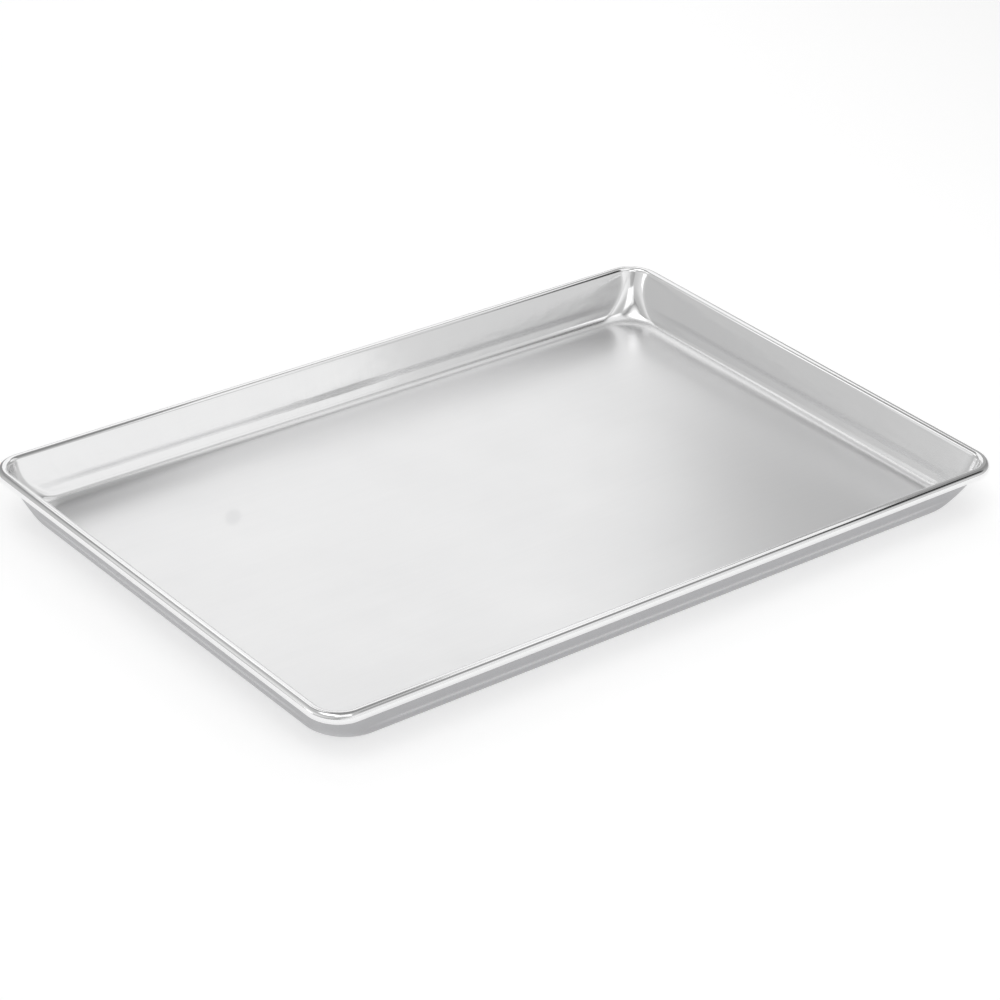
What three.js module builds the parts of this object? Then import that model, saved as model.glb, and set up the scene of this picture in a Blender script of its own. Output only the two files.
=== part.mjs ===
// Rimmed aluminium baking tray: one drawn sheet whose edge is curled over a steel wire.
// Millimetres, +Z up. The origin is the middle of the underside and +X runs along the long sides.

import * as THREE from "three";

// Overall sizes, over the outside of the bead
const rimLength = 420;
const rimWidth = 280;
const trayHeight = 26;

// The drawn sheet
const sheetThickness = 0.9;
const floorInset = 17.8;       // plan distance from the outside of the bead to the edge of the flat floor
const floorFillet = 5.6;       // inside radius between the floor and the walls
const floorCornerRadius = 20;  // plan radius of the flat floor's corners
const rimCornerRadius = 17;    // plan radius of the corners over the outside of the bead
const cornerEase = 2.5;        // how soon a corner tightens from the floor's radius to the rim's on the way up

// The bead and the wire inside it
const wireDiameter = 3.6;
const wireClearance = 0.3;     // between the wire and the curl round it
const curlGap = 0.4;           // between the curl's cut edge and the outside of the wall
const wireEndGap = 1;          // between the two butted ends of the wire

// Facets of the rounded stretches
const cornerSteps = 12;
const filletSteps = 6;
const wallSteps = 5;
const curlSteps = 20;
const wireSides = 14;

// Sizes that follow from those above
const wireRadius = wireDiameter / 2;
const curlInnerRadius = wireRadius + wireClearance;
const beadRadius = curlInnerRadius + sheetThickness;
const beadHeight = trayHeight - beadRadius;
const filletHeight = sheetThickness + floorFillet;
const curlTurn = 2 * Math.PI - Math.acos((curlInnerRadius - curlGap) / beadRadius);
const quarterTurn = Math.PI / 2;

// The wall is the straight line that touches the foot's arc on its outside and the bead on its inside.
const wallReach = floorInset - beadRadius;
const wallRise = beadHeight - filletHeight;
const wallSlant = Math.hypot(wallReach, wallRise);
const wallLean = Math.atan2(wallReach, wallRise) - Math.asin((floorFillet + beadRadius) / wallSlant);
const wallClimb = beadHeight + beadRadius * Math.sin(wallLean) - sheetThickness;

// The four corners in plan, anticlockwise, by the signs of their X and Y
const cornerSigns = [[1, 1], [-1, 1], [-1, -1], [1, -1]];

// Stops round the tray, anticlockwise from the +X side: the steps of each corner with their outward
// directions. The straight sides lie between one corner's last stop and the next one's first.
const stops = cornerSigns.flatMap(([signX, signY], corner) => shares(cornerSteps).map((share) => {
  const angle = quarterTurn * (corner + share);
  return { signX, signY, outward: new THREE.Vector2(Math.cos(angle), Math.sin(angle)) };
}));

// Even shares from 0 to 1
function shares(steps) {
  return Array.from({ length: steps + 1 }, (unused, step) => step / steps);
}

// One face of the sheet in section, from the edge of the floor up the wall and round to the curl's cut edge.
// The inner face has no offset and the outer face is offset by the sheet's thickness. A point's inset is
// measured in from the outside of the bead, and its climb is the share of the wall that lies below it.
function sheetFace(offset) {
  const footRadius = floorFillet + offset;
  const foot = shares(filletSteps).map((share) => {
    const angle = (quarterTurn - wallLean) * share - quarterTurn;
    return {
      inset: floorInset - footRadius * Math.cos(angle),
      height: filletHeight + footRadius * Math.sin(angle),
      climb: (floorFillet * (1 + Math.sin(angle))) / wallClimb,
    };
  });
  const curlRadius = beadRadius - offset;
  const curl = shares(curlSteps).map((share) => {
    const angle = Math.PI - wallLean - curlTurn * share;
    return {
      inset: beadRadius - curlRadius * Math.cos(angle),
      height: beadHeight + curlRadius * Math.sin(angle),
      climb: 1,
    };
  });
  const footTop = foot[filletSteps];
  const wallTop = curl[0];
  const wall = shares(wallSteps).slice(1, -1).map((share) => ({
    inset: THREE.MathUtils.lerp(footTop.inset, wallTop.inset, share),
    height: THREE.MathUtils.lerp(footTop.height, wallTop.height, share),
    climb: THREE.MathUtils.lerp(footTop.climb, wallTop.climb, share),
  }));
  return [...foot, ...wall, ...curl];
}

// A point of the section set out at a stop, as a point in space. The centre that the corner turns about
// slides out with the climb, so the corner is widest at the floor and tightest under the bead.
function placeAt(stop, point) {
  const tightened = 1 - (1 - point.climb) ** cornerEase;
  const centreInset = THREE.MathUtils.lerp(floorInset + floorCornerRadius, rimCornerRadius, tightened);
  const radius = centreInset - point.inset;
  return new THREE.Vector3(
    stop.signX * (rimLength / 2 - centreInset) + stop.outward.x * radius,
    stop.signY * (rimWidth / 2 - centreInset) + stop.outward.y * radius,
    point.height,
  );
}

// Triangles between neighbouring sections; a closed loop joins the last section to the first.
function skinBetween(sectionCount, pointCount, closedLoop, closedSection) {
  const triangles = [];
  const sectionSpans = closedLoop ? sectionCount : sectionCount - 1;
  const pointSpans = closedSection ? pointCount : pointCount - 1;
  for (let section = 0; section < sectionSpans; section += 1) {
    const here = section * pointCount;
    const next = ((section + 1) % sectionCount) * pointCount;
    for (let point = 0; point < pointSpans; point += 1) {
      const after = (point + 1) % pointCount;
      triangles.push([here + point, next + point, next + after]);
      triangles.push([here + point, next + after, here + after]);
    }
  }
  return triangles;
}

// Triangles over a flat face whose rim is the given list of vertices.
function flatFace(outline, vertexNumbers, turnedOver) {
  const faces = THREE.ShapeUtils.triangulateShape(outline, []);
  return faces.map((face) => {
    const [a, b, c] = face.map((corner) => vertexNumbers[corner]);
    return turnedOver ? [a, c, b] : [a, b, c];
  });
}

function solidFrom(points, triangles) {
  const coordinates = points.flatMap((point) => point.toArray());
  const geometry = new THREE.BufferGeometry();
  geometry.setAttribute("position", new THREE.Float32BufferAttribute(coordinates, 3));
  geometry.setIndex(triangles.flat());
  geometry.computeVertexNormals();
  return geometry;
}

function inPlan(point) {
  return new THREE.Vector2(point.x, point.y);
}

// The drawn sheet: its section all round, up the outer face and back down the inner one,
// closed by the two faces of the flat floor.
function shellGeometry() {
  const section = [...sheetFace(sheetThickness), ...sheetFace(0).reverse()];
  const pointCount = section.length;
  const points = stops.flatMap((stop) => section.map((point) => placeAt(stop, point)));
  const lowerEdge = stops.map((stop, index) => index * pointCount);
  const upperEdge = stops.map((stop, index) => (index + 1) * pointCount - 1);
  const outline = lowerEdge.map((vertex) => inPlan(points[vertex]));
  const triangles = [
    ...skinBetween(stops.length, pointCount, true, false),
    ...flatFace(outline, upperEdge, false),
    ...flatFace(outline, lowerEdge, true),
  ];
  return solidFrom(points, triangles);
}

// The wire's path: once round the middle of the bead, from the butted ends on the long -Y side.
function wirePath() {
  const beadMiddle = { inset: beadRadius, height: beadHeight, climb: 1 };
  const turns = stops.map((stop) => ({ middle: inPlan(placeAt(stop, beadMiddle)), outward: stop.outward }));
  const outward = new THREE.Vector2(0, -1);
  const sideY = beadRadius - rimWidth / 2;
  const start = { middle: new THREE.Vector2(wireEndGap / 2, sideY), outward };
  const end = { middle: new THREE.Vector2(-wireEndGap / 2, sideY), outward };
  const cornerStops = cornerSteps + 1;
  return [start, ...turns.slice(-cornerStops), ...turns.slice(0, -cornerStops), end];
}

// The steel wire: a round section carried along its path, with a flat cut at each end.
function wireGeometry() {
  const ring = shares(wireSides).slice(0, -1).map((share) => {
    const angle = 2 * Math.PI * share;
    return new THREE.Vector2(wireRadius * Math.cos(angle), wireRadius * Math.sin(angle));
  });
  const path = wirePath();
  const points = path.flatMap(({ middle, outward }) => ring.map((point) => {
    const plan = middle.clone().addScaledVector(outward, point.x);
    return new THREE.Vector3(plan.x, plan.y, beadHeight + point.y);
  }));
  const firstRing = ring.map((point, side) => side);
  const lastRing = firstRing.map((side) => side + (path.length - 1) * wireSides);
  const triangles = [
    ...skinBetween(path.length, wireSides, false, true),
    ...flatFace(ring, firstRing, false),
    ...flatFace(ring, lastRing, true),
  ];
  return solidFrom(points, triangles);
}

const bareAluminium = new THREE.MeshStandardMaterial({ color: 0xd2d2d3, roughness: 0.38, metalness: 1 });
const galvanisedSteel = new THREE.MeshStandardMaterial({ color: 0x9a9d9f, roughness: 0.5, metalness: 1 });

const trayShell = new THREE.Mesh(shellGeometry(), bareAluminium);
trayShell.name = "tray_shell";

const rimWire = new THREE.Mesh(wireGeometry(), galvanisedSteel);
rimWire.name = "rim_wire";

const tray = new THREE.Group();
tray.name = "rimmed_tray";
tray.add(trayShell, rimWire);

export default tray;
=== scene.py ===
import math
import bpy
from mathutils import Matrix, Vector


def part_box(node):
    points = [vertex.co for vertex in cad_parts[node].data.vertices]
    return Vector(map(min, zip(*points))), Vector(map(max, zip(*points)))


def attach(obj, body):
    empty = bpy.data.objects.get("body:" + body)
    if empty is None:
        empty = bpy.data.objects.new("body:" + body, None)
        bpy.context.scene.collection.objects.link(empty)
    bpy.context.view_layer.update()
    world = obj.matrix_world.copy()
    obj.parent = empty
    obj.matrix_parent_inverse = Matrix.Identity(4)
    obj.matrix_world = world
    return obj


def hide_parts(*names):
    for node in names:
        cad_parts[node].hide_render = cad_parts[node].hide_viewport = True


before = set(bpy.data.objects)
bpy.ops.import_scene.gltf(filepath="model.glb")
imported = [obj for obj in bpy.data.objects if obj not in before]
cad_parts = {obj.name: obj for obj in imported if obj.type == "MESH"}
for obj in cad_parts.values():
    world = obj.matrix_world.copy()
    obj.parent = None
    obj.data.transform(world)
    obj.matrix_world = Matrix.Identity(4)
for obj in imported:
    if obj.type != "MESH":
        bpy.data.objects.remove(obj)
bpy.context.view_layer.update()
print("frame loaded:", sorted(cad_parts))


class Signal:  # a socket in a node tree; arithmetic on it adds Math nodes
    def __init__(self, tree, socket=None):
        self.tree = tree
        self.socket = socket

    def node(self, kind, settings=None, sockets=None, out=0):  # any node, by its settings and sockets
        made = self.tree.nodes.new(kind)
        for name, value in (settings or {}).items():
            setattr(made, name, value)
        for name, value in (sockets or {}).items():
            if isinstance(value, Signal):
                self.tree.links.new(value.socket, made.inputs[name])
            else:
                made.inputs[name].default_value = value
        return Signal(self.tree, made.outputs[out])

    def out(self, name):  # another output of the same node
        return Signal(self.tree, self.socket.node.outputs[name])

    def math(self, operation, other=0.0, swapped=False):
        first, second = (other, self) if swapped else (self, other)
        return self.node("ShaderNodeMath", {"operation": operation}, {0: first, 1: second})

    def __add__(self, other):
        return self.math("ADD", other)

    def __radd__(self, other):
        return self.math("ADD", other, True)

    def __sub__(self, other):
        return self.math("SUBTRACT", other)

    def __rsub__(self, other):
        return self.math("SUBTRACT", other, True)

    def __mul__(self, other):
        return self.math("MULTIPLY", other)

    def __rmul__(self, other):
        return self.math("MULTIPLY", other, True)

    def __truediv__(self, other):
        return self.math("DIVIDE", other)

    def __rtruediv__(self, other):
        return self.math("DIVIDE", other, True)

    def __gt__(self, other):
        return self.math("GREATER_THAN", other)

    def __lt__(self, other):
        return self.math("LESS_THAN", other)

    def clamped(self):
        return self.node("ShaderNodeClamp", None, {"Value": self})

    def smooth(self, low, high):  # 0 below low, 1 above high, eased between
        sockets = {"Value": self, "From Min": low, "From Max": high}
        return self.node("ShaderNodeMapRange", {"interpolation_type": "SMOOTHSTEP"}, sockets)

    def towards(self, other, share):  # self where share is 0, other where it is 1
        return self + (other - self) * share

    def parts(self):  # the three numbers of a vector
        split = self.node("ShaderNodeSeparateXYZ", None, {"Vector": self})
        return split.out("X"), split.out("Y"), split.out("Z")

    def noise(self, detail):  # soft noise about 0.5, read at this place
        return self.node("ShaderNodeTexNoise", None, {"Vector": self, "Scale": 1.0, "Detail": detail})


def vectorOf(x, y, z):
    given = next(part for part in (x, y, z) if isinstance(part, Signal))
    return given.node("ShaderNodeCombineXYZ", None, {"X": x, "Y": y, "Z": z})


def mixOf(share, first, second):  # a colour: first where share is 0, second where it is 1
    sockets = {"Factor": share, "A": first, "B": second}
    return share.node("ShaderNodeMix", {"data_type": "RGBA"}, sockets, "Result")


traySizes = {  # metres; length, width and height come from the CAD node
    "Sheet": 0.0009,
    "Floor Inset": 0.0178,
    "Foot Radius": 0.0056,
    "Floor Corner": 0.020,
    "Rim Corner": 0.017,
    "Wire": 0.0036,
    "Wire Room": 0.0003,
    "Curl Gap": 0.0004,
    "Corner Ease": 2.5,     # how soon the corners tighten to the rim's radius on the way up
    "Corner Lead": 0.002,   # short straight stretch at each end of a corner
    "Line Height": 0.0108,  # the draw line that the press leaves along the walls: its top edge,
    "Line Fall": 0.0032,    # the height over which it falls away,
    "Line Depth": 0.0001,   # how far the wall stands proud above it and sinks below it,
    "Line Fade": 0.028,     # and the length over which it dies out towards the corners
}
traySteps = {"corner": 28, "floor": 6, "foot": 12, "wall": 27, "curl": 36}
trayMesh = {"weld": 1e-6, "crease": 0.6}  # metres between points that join, radians at a hard edge


def trayTree():
    tree = bpy.data.node_groups.new("traySheetTree", "GeometryNodeTree")
    sizeNames = ["Length", "Width", "Height", *traySizes]
    for name in sizeNames:
        tree.interface.new_socket(name=name, in_out="INPUT", socket_type="NodeSocketFloat")
    tree.interface.new_socket(name="Finish", in_out="INPUT", socket_type="NodeSocketMaterial")
    tree.interface.new_socket(name="Tray", in_out="OUTPUT", socket_type="NodeSocketGeometry")
    given = tree.nodes.new("NodeGroupInput")
    size = {name: Signal(tree, given.outputs[name]) for name in sizeNames}
    sheet, foot, height = size["Sheet"], size["Foot Radius"], size["Height"]
    inset, floorCorner, rimCorner = size["Floor Inset"], size["Floor Corner"], size["Rim Corner"]
    curlInner = size["Wire"] / 2 + size["Wire Room"]
    bead = curlInner + sheet
    curlTurn = 2 * math.pi - ((curlInner - size["Curl Gap"]) / bead).math("ARCCOSINE")

    arcEnd = traySteps["corner"] + 2  # a corner's stops: two leads in, the arc, two leads out
    cornerStops = arcEnd + 3
    stopSpans = 4 * cornerStops
    halfPoints = traySteps["floor"] + traySteps["foot"] + traySteps["wall"] + traySteps["curl"] + 2
    pointSpans = 2 * halfPoints - 1
    grid = sheet.node("GeometryNodeMeshGrid", None, {
        "Size X": stopSpans, "Size Y": pointSpans,
        "Vertices X": stopSpans + 1, "Vertices Y": pointSpans + 1})
    gridPlace = sheet.node("GeometryNodeInputPosition").parts()
    stop = (gridPlace[0] + stopSpans / 2).math("ROUND")  # which stop round the tray
    step = (gridPlace[1] + pointSpans / 2).math("ROUND")  # which point of the section there

    corner = (stop / cornerStops).math("FLOOR")
    local = stop - corner * cornerStops
    onLead = (local > arcEnd + 0.5) - (local < 1.5)
    onSide = (local > arcEnd + 1.5) - (local < 0.5)
    lead = onLead * size["Corner Lead"] + onSide * size["Line Fade"]
    turn = (corner + ((local - 2) / traySteps["corner"]).clamped()) * (math.pi / 2)
    outX, outY = turn.math("COSINE"), turn.math("SINE")
    diagonal = (corner + 0.5) * (math.pi / 2)
    signX, signY = diagonal.math("COSINE").math("SIGN"), diagonal.math("SINE").math("SIGN")
    reach = inset - bead  # floor's edge to the middle of the bead, in plan
    rise = height - bead - sheet - foot
    slant = (reach * reach + rise * rise).math("SQRT")
    wallLength = (slant * slant - (foot + bead) * (foot + bead)).math("SQRT")
    lean = reach.math("ARCTAN2", rise) - ((foot + bead) / slant).math("ARCSINE")

    upper = step > halfPoints - 0.5  # 1 on the inside of the tray, 0 on its outside
    lower = 1 - upper
    point = step.math("MINIMUM", pointSpans - step)  # both faces count from the middle of the floor
    floorShare = (point / traySteps["floor"]).clamped()
    footShare = ((point - traySteps["floor"]) / traySteps["foot"]).clamped()
    wallShare = ((point - traySteps["floor"] - traySteps["foot"]) / (traySteps["wall"] + 1)).clamped()
    curlShare = ((point - (halfPoints - traySteps["curl"] - 1)) / traySteps["curl"]).clamped()
    spread = (floorShare * (math.pi / 2)).math("SINE")
    climb = 0.5 - (wallShare * math.pi).math("COSINE") / 2
    footRadius = foot + sheet * lower
    curlRadius = bead - sheet * lower
    footAngle = (math.pi / 2 - lean) * footShare - math.pi / 2
    curlAngle = math.pi - lean - curlTurn * curlShare
    footIn = inset - footRadius * footAngle.math("COSINE")  # distances in from the outside of the rim
    curlIn = bead - curlRadius * curlAngle.math("COSINE")
    footUp = sheet + foot + footRadius * footAngle.math("SINE")
    curlUp = height - bead + curlRadius * curlAngle.math("SINE")
    pointUp = footUp.towards(curlUp, climb)

    lineTop, lineLow = size["Line Height"], size["Line Height"] - size["Line Fall"]
    wallFoot = sheet + foot - foot * lean.math("SINE")
    proud = ((height - bead - pointUp) / (height - bead - lineTop)).clamped()
    below = 1 - pointUp.smooth(lineLow, lineTop)
    sunk = ((pointUp - wallFoot) / (lineLow - wallFoot)).clamped()
    lineShift = (proud * (1 - below) - sunk * below) * size["Line Depth"] * onSide * onSide
    sectionIn = footIn.towards(curlIn, climb) + lineShift * (curlShare < 0.001)  # none on the curl
    streakShare = (pointUp + size["Line Fall"] / 2 * lower).smooth(lineLow, lineTop)
    # 1 in the middle of the draw line inside the tray, and at its low edge outside: the line's scuff
    # (rougher there) and where its painted dark streak and painted light line go
    scuffAndPaintedStreak = streakShare * (1 - streakShare) * 4 * onSide * onSide

    wallTop = height - bead + bead * lean.math("SINE") - sheet
    climbed = (foot + foot * footAngle.math("SINE")).towards(wallTop, climb) / wallTop
    tightened = 1 - (1 - climbed).clamped().math("POWER", size["Corner Ease"])
    centreIn = (inset + floorCorner).towards(rimCorner, tightened)  # the corner's centre, in from the rim
    placeX = signX * (size["Length"] / 2 - centreIn) + outX * (centreIn - sectionIn) - outY * lead
    placeY = signY * (size["Width"] / 2 - centreIn) + outY * (centreIn - sectionIn) + outX * lead
    place = vectorOf(placeX * spread, placeY * spread, pointUp)

    run = foot * (footAngle + math.pi / 2) + wallLength * climb + bead * curlTurn * curlShare
    edgeX = signX * (size["Length"] / 2 - inset - floorCorner) + outX * (floorCorner + run) - outY * lead
    edgeY = signY * (size["Width"] / 2 - inset - floorCorner) + outY * (floorCorner + run) + outX * lead
    blank = vectorOf(edgeX * spread, edgeY * spread, run)  # where the point lay on the flat sheet
    beadX = signX * (size["Length"] / 2 - rimCorner) + outX * (rimCorner - bead) - outY * lead
    beadY = signY * (size["Width"] / 2 - rimCorner) + outY * (rimCorner - bead) + outX * lead
    rimPlace = vectorOf(beadX, beadY, upper)
    zone = footShare + climb + curlShare  # 0 floor, 1 top of the foot, 2 top of the wall, 3 cut edge

    made = grid
    for name, kind, value in (("blank", "FLOAT_VECTOR", blank), ("rimPlace", "FLOAT_VECTOR", rimPlace),
                              ("zone", "FLOAT", zone), ("scuffAndPaintedStreak", "FLOAT", scuffAndPaintedStreak)):
        made = made.node("GeometryNodeStoreNamedAttribute", {"data_type": kind, "domain": "POINT"},
                         {"Geometry": made, "Name": name, "Value": value})
    made = made.node("GeometryNodeSetPosition", None, {"Geometry": made, "Position": place})
    weld = {"Geometry": made, "Distance": trayMesh["weld"]}
    made = made.node("GeometryNodeMergeByDistance", None, weld)
    creases = made.node("GeometryNodeInputMeshEdgeAngle") > trayMesh["crease"]
    made = made.node("GeometryNodeStoreNamedAttribute", {"data_type": "BOOLEAN", "domain": "EDGE"},
                     {"Geometry": made, "Name": "sharp_edge", "Value": creases})
    made = made.node("GeometryNodeSetShadeSmooth", None, {"Geometry": made})
    made = made.node("GeometryNodeRealizeInstances", None, {"Geometry": made})
    finish = Signal(tree, given.outputs["Finish"])
    made = made.node("GeometryNodeSetMaterial", None, {"Geometry": made, "Material": finish})
    tree.links.new(made.socket, tree.nodes.new("NodeGroupOutput").inputs["Tray"])
    return tree


def makeTray(finish):
    low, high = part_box("tray_shell")
    span = high - low
    tree = trayTree()
    tray = bpy.data.objects.new("tray_sheet", bpy.data.meshes.new("tray_sheet"))
    bpy.context.scene.collection.objects.link(tray)
    modifier = tray.modifiers.new("traySheet", "NODES")
    modifier.node_group = tree
    values = {"Length": span.x, "Width": span.y, "Height": span.z, **traySizes, "Finish": finish}
    for socket in tree.interface.items_tree:
        if socket.in_out == "INPUT":
            modifier[socket.identifier] = values[socket.name]
    graph = bpy.context.evaluated_depsgraph_get()
    shaped = tray.evaluated_get(graph)
    mesh = bpy.data.meshes.new_from_object(shaped, preserve_all_data_layers=True, depsgraph=graph)
    tray.modifiers.remove(modifier)
    tray.data = mesh
    mesh.name = "tray_sheet"
    print("tray:", len(mesh.vertices), "points,", len(mesh.polygons), "faces")
    return tray


sheetFinish = {
    "brightTone": (0.90, 0.90, 0.90, 1),
    "dullTone": (0.83, 0.83, 0.835, 1),
    "underToneAndShade": (0.47, 0.47, 0.48, 1),    # the under face: a duller mill finish, darkened further as painted shade for the shadowed floor it mirrors
    "paintedDarkStreakTone": (0.76, 0.76, 0.765, 1),   # along the draw line, inside the tray: a painted dark streak that stands for a reflection
    "paintedLightLineTone": (0.63, 0.63, 0.64, 1),      # and outside, at its low edge: a painted light line that stands for a reflection
    "gloss": {"floor": 0.32, "wall": 0.12, "bead": 0.11},  # roughness of each zone
    "wallEdge": (0.35, 1.05),      # zone over which the floor's finish turns into the wall's,
    "beadEdge": (1.94, 2.06),      # and the wall's into the bead's
    "seeds": {"grain": 0.5, "fineGrain": 7.5, "clouds": 3.5},  # the slice of noise that each reads
    "grain": (0.040, 0.0008),      # length and width of the rolling grain, metres
    "fineGrain": (0.015, 0.0003),
    "clouds": 0.055,               # size of the soft patches left by handling
    "drawMarks": (0.0014, 0.030),  # width and length of the marks that drawing leaves up the walls
    "waves": (0.034, 0.012),       # length and height of the walls' faint waviness
    "rollMarks": (0.0006, 0.050),  # width and length of the lines that curling leaves along the bead
    "mark": (-0.1154, 0.0645),     # the faint smudge on the floor: its place,
    "markSize": (0.0106, 0.0052),  # half its length and width,
    "markTurn": 49,                # the way it lies, degrees from +X,
    "markEdge": (0.25, 1.0),       # and the share of its size over which it fades
    # how far each of these roughens the metal, dulls its tone and stands up from it in metres
    "roughBy": {"grain": 0.08, "fineGrain": 0.05, "clouds": 0.06, "drawMarks": 0.04, "rollMarks": 0.06,
                "mark": 0.06, "under": 0.12, "scuffAndPaintedStreak": 0.05},
    "dullBy": {"all": 0.4, "clouds": 0.5, "grain": 0.3, "drawMarks": 0.3, "mark": 0.9},
    "relief": {"grain": 2.0e-6, "fineGrain": 0.8e-6, "drawMarks": 0.6e-6, "rollMarks": 1.5e-6,
               "waves": 1.2e-4},
}


def aluminiumSheet():
    material = bpy.data.materials.new("aluminiumSheet")
    material.use_nodes = True
    tree = material.node_tree
    shader = tree.nodes["Principled BSDF"]
    start = Signal(tree)

    def stored(name, out):  # a value that the node tree left on the mesh
        return start.node("ShaderNodeAttribute", {"attribute_name": name}, None, out)

    blank = stored("blank", "Vector").parts()
    rim = stored("rimPlace", "Vector").parts()
    zone = stored("zone", "Fac")
    scuffAndPaintedStreak = stored("scuffAndPaintedStreak", "Fac")
    onWall = zone.smooth(*sheetFinish["wallEdge"])
    onBead = zone.smooth(*sheetFinish["beadEdge"])
    onFloor = 1 - onWall
    wallOnly = onWall - onBead
    under = 1 - rim[2]

    def grainOf(name, length, width):  # patches that lie along the sheet
        return vectorOf(blank[0] / length, blank[1] / width, sheetFinish["seeds"][name]).noise(3) - 0.5

    grain = grainOf("grain", *sheetFinish["grain"])
    fineGrain = grainOf("fineGrain", *sheetFinish["fineGrain"])
    clouds = grainOf("clouds", sheetFinish["clouds"], sheetFinish["clouds"])
    drawWidth, drawLength = sheetFinish["drawMarks"]
    drawMarks = vectorOf(rim[0] / drawWidth, rim[1] / drawWidth, blank[2] / drawLength).noise(3) - 0.5
    waveLength, waveHeight = sheetFinish["waves"]
    waves = vectorOf(rim[0] / waveLength, rim[1] / waveLength, blank[2] / waveHeight).noise(2) - 0.5
    rollWidth, rollLength = sheetFinish["rollMarks"]
    rollMarks = vectorOf(rim[0] / rollLength, rim[1] / rollLength, blank[2] / rollWidth).noise(3) - 0.5
    markX, markY = (blank[axis] - sheetFinish["mark"][axis] for axis in (0, 1))
    markTurn = math.radians(sheetFinish["markTurn"])
    markAlong = (markX * math.cos(markTurn) + markY * math.sin(markTurn)) / sheetFinish["markSize"][0]
    markAcross = (markY * math.cos(markTurn) - markX * math.sin(markTurn)) / sheetFinish["markSize"][1]
    markReach = (markAlong * markAlong + markAcross * markAcross).math("SQRT")
    mark = (1 - markReach.smooth(*sheetFinish["markEdge"])) * onFloor * rim[2]

    gloss = sheetFinish["gloss"]
    roughness = gloss["floor"] + onWall * (gloss["wall"] - gloss["floor"])
    roughness = roughness + onBead * (gloss["bead"] - gloss["wall"])
    rough, dull, relief = (sheetFinish[name] for name in ("roughBy", "dullBy", "relief"))
    roughness = roughness + onFloor * (grain * rough["grain"] + fineGrain * rough["fineGrain"])
    roughness = roughness + (1 - onBead) * clouds * rough["clouds"]
    roughness = roughness + onBead * rollMarks * rough["rollMarks"]
    roughness = roughness + wallOnly * drawMarks * rough["drawMarks"]
    roughness = roughness + mark * rough["mark"] + under * rough["under"] + scuffAndPaintedStreak * rough["scuffAndPaintedStreak"]
    tree.links.new(roughness.socket, shader.inputs["Roughness"])

    dullness = dull["all"] + clouds * dull["clouds"] + grain * dull["grain"] + mark * dull["mark"]
    dullness = (dullness + wallOnly * drawMarks * dull["drawMarks"]).clamped()
    upperTone = mixOf(dullness, sheetFinish["brightTone"], sheetFinish["dullTone"])
    # painted dark streak along the draw line inside the tray
    upperTone = mixOf(scuffAndPaintedStreak, upperTone, sheetFinish["paintedDarkStreakTone"])
    # the under face: painted shade, with a painted light line at the draw line's low edge
    underToneAndShade = mixOf(scuffAndPaintedStreak, sheetFinish["underToneAndShade"], sheetFinish["paintedLightLineTone"])
    tone = mixOf(under, upperTone, underToneAndShade)
    tree.links.new(tone.socket, shader.inputs["Base Color"])

    height = grain * relief["grain"] + fineGrain * relief["fineGrain"]
    height = height + wallOnly * (drawMarks * relief["drawMarks"] + waves * relief["waves"])
    height = height + onBead * rollMarks * relief["rollMarks"]
    bump = start.node("ShaderNodeBump", None, {"Height": height, "Strength": 1.0, "Distance": 1.0})
    tree.links.new(bump.socket, shader.inputs["Normal"])
    shader.inputs["Metallic"].default_value = 1
    return material


wireFinish = {
    "zincTone": (0.66, 0.67, 0.68, 1),
    "dullTone": (0.44, 0.45, 0.47, 1),
    "gloss": 0.42,      # roughness
    "spangle": 0.0022,  # size of the zinc crystals, metres
    "pits": 0.0005,
    "roughBy": {"spangle": 0.18, "pits": 0.12},
    "dullBy": {"all": 0.2, "spangle": 0.6, "pits": 0.6},
    "relief": 6.0e-6,   # height of the pits
}


def galvanisedWire():
    material = bpy.data.materials.new("galvanisedWire")
    material.use_nodes = True
    tree = material.node_tree
    shader = tree.nodes["Principled BSDF"]
    place = Signal(tree).node("ShaderNodeTexCoord", None, None, "Object")
    crystal = {"Vector": place, "Scale": 1 / wireFinish["spangle"]}
    spangle = place.node("ShaderNodeTexVoronoi", None, crystal, "Color").parts()[0]  # one per crystal
    fine = {"Vector": place, "Scale": 1 / wireFinish["pits"], "Detail": 3}
    pits = place.node("ShaderNodeTexNoise", None, fine) - 0.5
    rough, dull = wireFinish["roughBy"], wireFinish["dullBy"]
    roughness = wireFinish["gloss"] + (spangle - 0.5) * rough["spangle"] + pits * rough["pits"]
    tree.links.new(roughness.socket, shader.inputs["Roughness"])
    dullness = (dull["all"] + spangle * dull["spangle"] + pits * dull["pits"]).clamped()
    tone = mixOf(dullness, wireFinish["zincTone"], wireFinish["dullTone"])
    tree.links.new(tone.socket, shader.inputs["Base Color"])
    height = pits * wireFinish["relief"]
    bump = place.node("ShaderNodeBump", None, {"Height": height, "Strength": 1.0, "Distance": 1.0})
    tree.links.new(bump.socket, shader.inputs["Normal"])
    shader.inputs["Metallic"].default_value = 1
    return material


tray = makeTray(aluminiumSheet())
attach(tray, "root")
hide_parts("tray_shell")

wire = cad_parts["rim_wire"]
wire.data.materials.clear()
wire.data.materials.append(galvanisedWire())
print("wire:", len(wire.data.polygons), "faces, zinc finish")

floorSettings = {"reach": 6.0, "drop": 0.0003, "tone": 0.66, "gloss": 0.9, "glow": 0.53}


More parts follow.
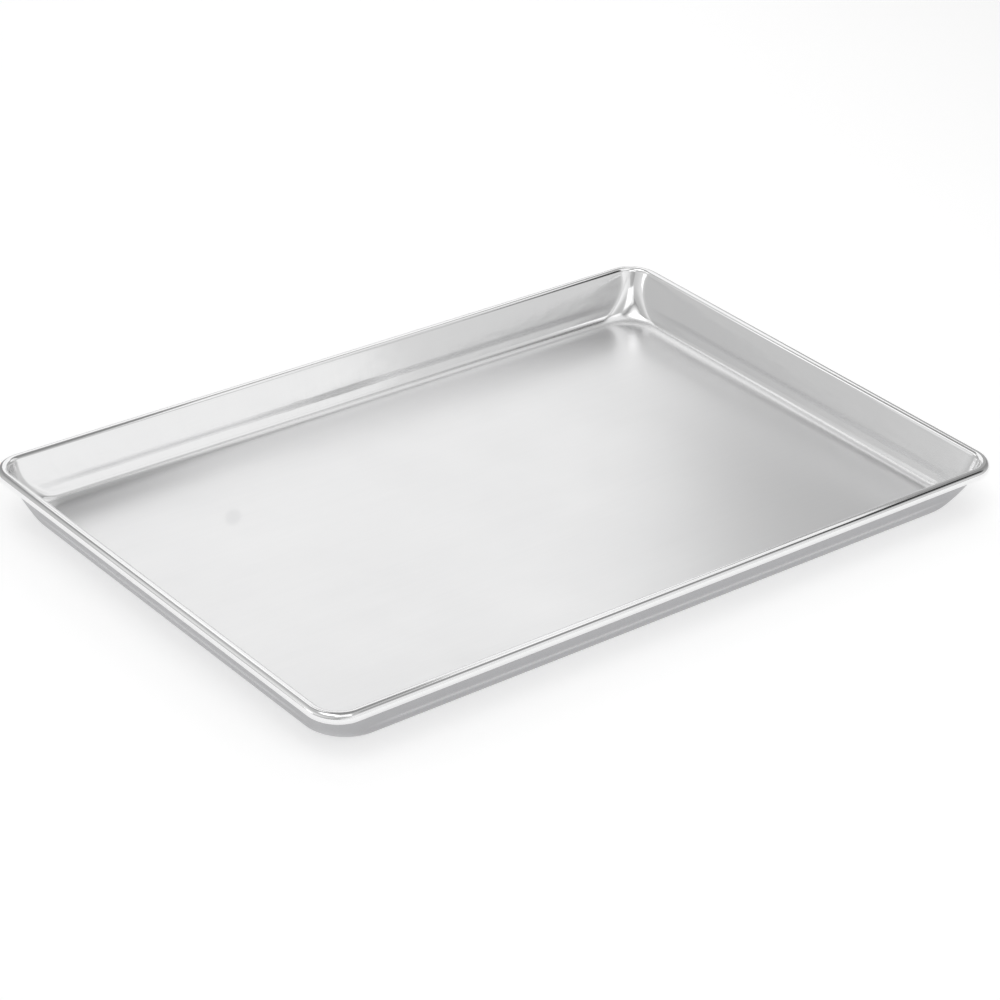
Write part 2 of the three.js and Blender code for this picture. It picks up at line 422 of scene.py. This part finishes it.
def makeFloor():
    reach, drop = floorSettings["reach"], floorSettings["drop"]
    mesh = bpy.data.meshes.new("studio_floor")
    corners = [(-reach, -reach), (reach, -reach), (reach, reach), (-reach, reach)]
    mesh.from_pydata([(x, y, -drop) for x, y in corners], [], [(0, 1, 2, 3)])
    floor = bpy.data.objects.new("studio_floor", mesh)
    bpy.context.scene.collection.objects.link(floor)
    material = bpy.data.materials.new("paleFloor")
    material.use_nodes = True
    tree = material.node_tree
    shader = tree.nodes["Principled BSDF"]
    tone = floorSettings["tone"]
    shader.inputs["Base Color"].default_value = (tone, tone, tone, 1)
    shader.inputs["Roughness"].default_value = floorSettings["gloss"]
    # a little paler to the camera and in the metal, so it is white there and still takes the shadow
    path = Signal(tree).node("ShaderNodeLightPath", None, None, "Is Camera Ray")
    seen = path.math("MAXIMUM", path.out("Is Glossy Ray"))
    glow = mixOf(seen, (0, 0, 0, 1), (1, 1, 1, 1))
    tree.links.new(glow.socket, shader.inputs["Emission Color"])
    shader.inputs["Emission Strength"].default_value = floorSettings["glow"]
    mesh.materials.append(material)
    print("floor:", 2 * reach, "m across")
    return floor


makeFloor()

cameraSettings = {  # the photograph's viewpoint, in degrees, metres and millimetres
    "azimuth": -40.87, "elevation": 29.33, "roll": 3.53,
    "distance": 1.6846, "aim": (0.0053, 0.0062, 0.0), "lens": 122.03, "sensor": 36.0,
}


def makeCamera():
    turn, tilt, roll = (math.radians(cameraSettings[name]) for name in ("azimuth", "elevation", "roll"))
    back = Vector((math.sin(turn) * math.cos(tilt), -math.cos(turn) * math.cos(tilt), math.sin(tilt)))
    level = Vector((math.cos(turn), math.sin(turn), 0))
    upright = back.cross(level)
    right = level * math.cos(roll) + upright * math.sin(roll)
    up = upright * math.cos(roll) - level * math.sin(roll)
    data = bpy.data.cameras.new("photo_camera")
    data.lens, data.sensor_width = cameraSettings["lens"], cameraSettings["sensor"]
    camera = bpy.data.objects.new("photo_camera", data)
    camera.location = Vector(cameraSettings["aim"]) + back * cameraSettings["distance"]
    camera.rotation_euler = Matrix((right, up, back)).transposed().to_euler()
    bpy.context.scene.collection.objects.link(camera)
    bpy.context.scene.camera = camera
    print("camera:", data.lens, "mm lens,", cameraSettings["distance"], "m away")


makeCamera()


# soft boxes: turn and lift seen from the tray in degrees, distance and size in metres
studioBoxes = {
    "back_box": {"turn": 61, "lift": 34, "far": 0.90, "size": (0.63, 0.62), "bright": 0.73},
    "right_box": {"turn": 28, "lift": 33, "far": 0.95, "size": (0.45, 0.60), "bright": 0.13},
    "front_box": {"turn": 287, "lift": 47, "far": 0.60, "size": (0.60, 0.60), "bright": 0.26},
    "left_box": {"turn": 180, "lift": 38, "far": 0.65, "size": (1.10, 0.60), "bright": 0.24},
    "over_box": {"turn": 354, "lift": 55, "far": 0.58, "size": (0.40, 0.30), "bright": 0.66},
    "strip_box": {"turn": 107, "lift": 55, "far": 0.67, "size": (0.22, 0.45), "bright": 0.78},
    "camera_box": {"turn": 245, "lift": 52, "far": 0.93, "size": (0.55, 0.55), "bright": 0.73},
    "low_card": {"turn": 273, "lift": 10, "far": 0.70, "size": (1.05, 0.20), "bright": 0.22},
    "side_box": {"turn": 157, "lift": 11, "far": 1.60, "size": (0.60, 0.38), "bright": 0.85},
}
studioRoom = {
    "even": 0.30,
    "lamp": {"turn": 180, "lift": 72, "reach": 13, "soft": 9, "bright": 1.35},
    "shade": {"turn": 331, "lift": 38, "reach": 13, "soft": 4, "share": 1.0},  # a dark part of the ceiling
    "walls": {  # pale walls that fade out between two heights above the horizon
        "front": {"turn": 290, "low": 22, "top": 46, "bright": 0.47},
        "left": {"turn": 154, "low": 26, "top": 44, "bright": 0.34},
        "back": {"turn": 40, "low": 5, "top": 13, "bright": 0.60},
    },
}


def aimOf(turn, lift):
    turn, lift = math.radians(turn), math.radians(lift)
    return Vector((math.cos(turn) * math.cos(lift), math.sin(turn) * math.cos(lift), math.sin(lift)))


def makeBoxes():
    for name, box in studioBoxes.items():
        lamp = bpy.data.lights.new(name, "AREA")
        lamp.shape = "RECTANGLE"
        lamp.size, lamp.size_y = box["size"]
        lamp.energy = box["bright"] * math.pi * lamp.size * lamp.size_y  # 1 looks white in a mirror
        light = bpy.data.objects.new(name, lamp)
        aim = aimOf(box["turn"], box["lift"])
        light.location = aim * box["far"]
        light.rotation_euler = aim.to_track_quat("Z", "Y").to_euler()
        light.visible_camera = False
        bpy.context.scene.collection.objects.link(light)
    print("soft boxes:", len(studioBoxes))


def spotOf(place, spot):  # 1 within a round patch of the room, easing to 0 round it
    aim = aimOf(spot["turn"], spot["lift"])
    nearness = place.node("ShaderNodeVectorMath", {"operation": "DOT_PRODUCT"},
                          {0: place, 1: aim}, "Value")
    edges = [math.radians(spot["reach"] + spot["soft"] * side) for side in (1, -1)]
    return nearness.smooth(math.cos(edges[0]), math.cos(edges[1]))


def makeRoom():
    world = bpy.data.worlds.new("studio")
    bpy.context.scene.world = world
    world.use_nodes = True
    tree = world.node_tree
    place = Signal(tree).node("ShaderNodeTexCoord", None, None, "Generated")
    x, y, z = place.parts()
    lift = z.math("ARCSINE")
    shade, lamp = studioRoom["shade"], studioRoom["lamp"]
    strength = (1 - spotOf(place, shade) * shade["share"]) * studioRoom["even"]
    strength = strength + spotOf(place, lamp) * lamp["bright"]
    for wall in studioRoom["walls"].values():
        facing = (y.math("ARCTAN2", x) - math.radians(wall["turn"])).math("COSINE").math("MAXIMUM", 0)
        fade = 1 - lift.smooth(math.radians(wall["low"]), math.radians(wall["top"]))
        strength = strength + fade * facing * facing * wall["bright"]
    tree.links.new(strength.socket, tree.nodes["Background"].inputs["Strength"])
    tree.nodes["Background"].inputs["Color"].default_value = (1, 1, 1, 1)
    print("room:", len(studioRoom["walls"]), "pale walls")


makeBoxes()
makeRoom()
bpy.context.scene.view_settings.view_transform = "Standard"
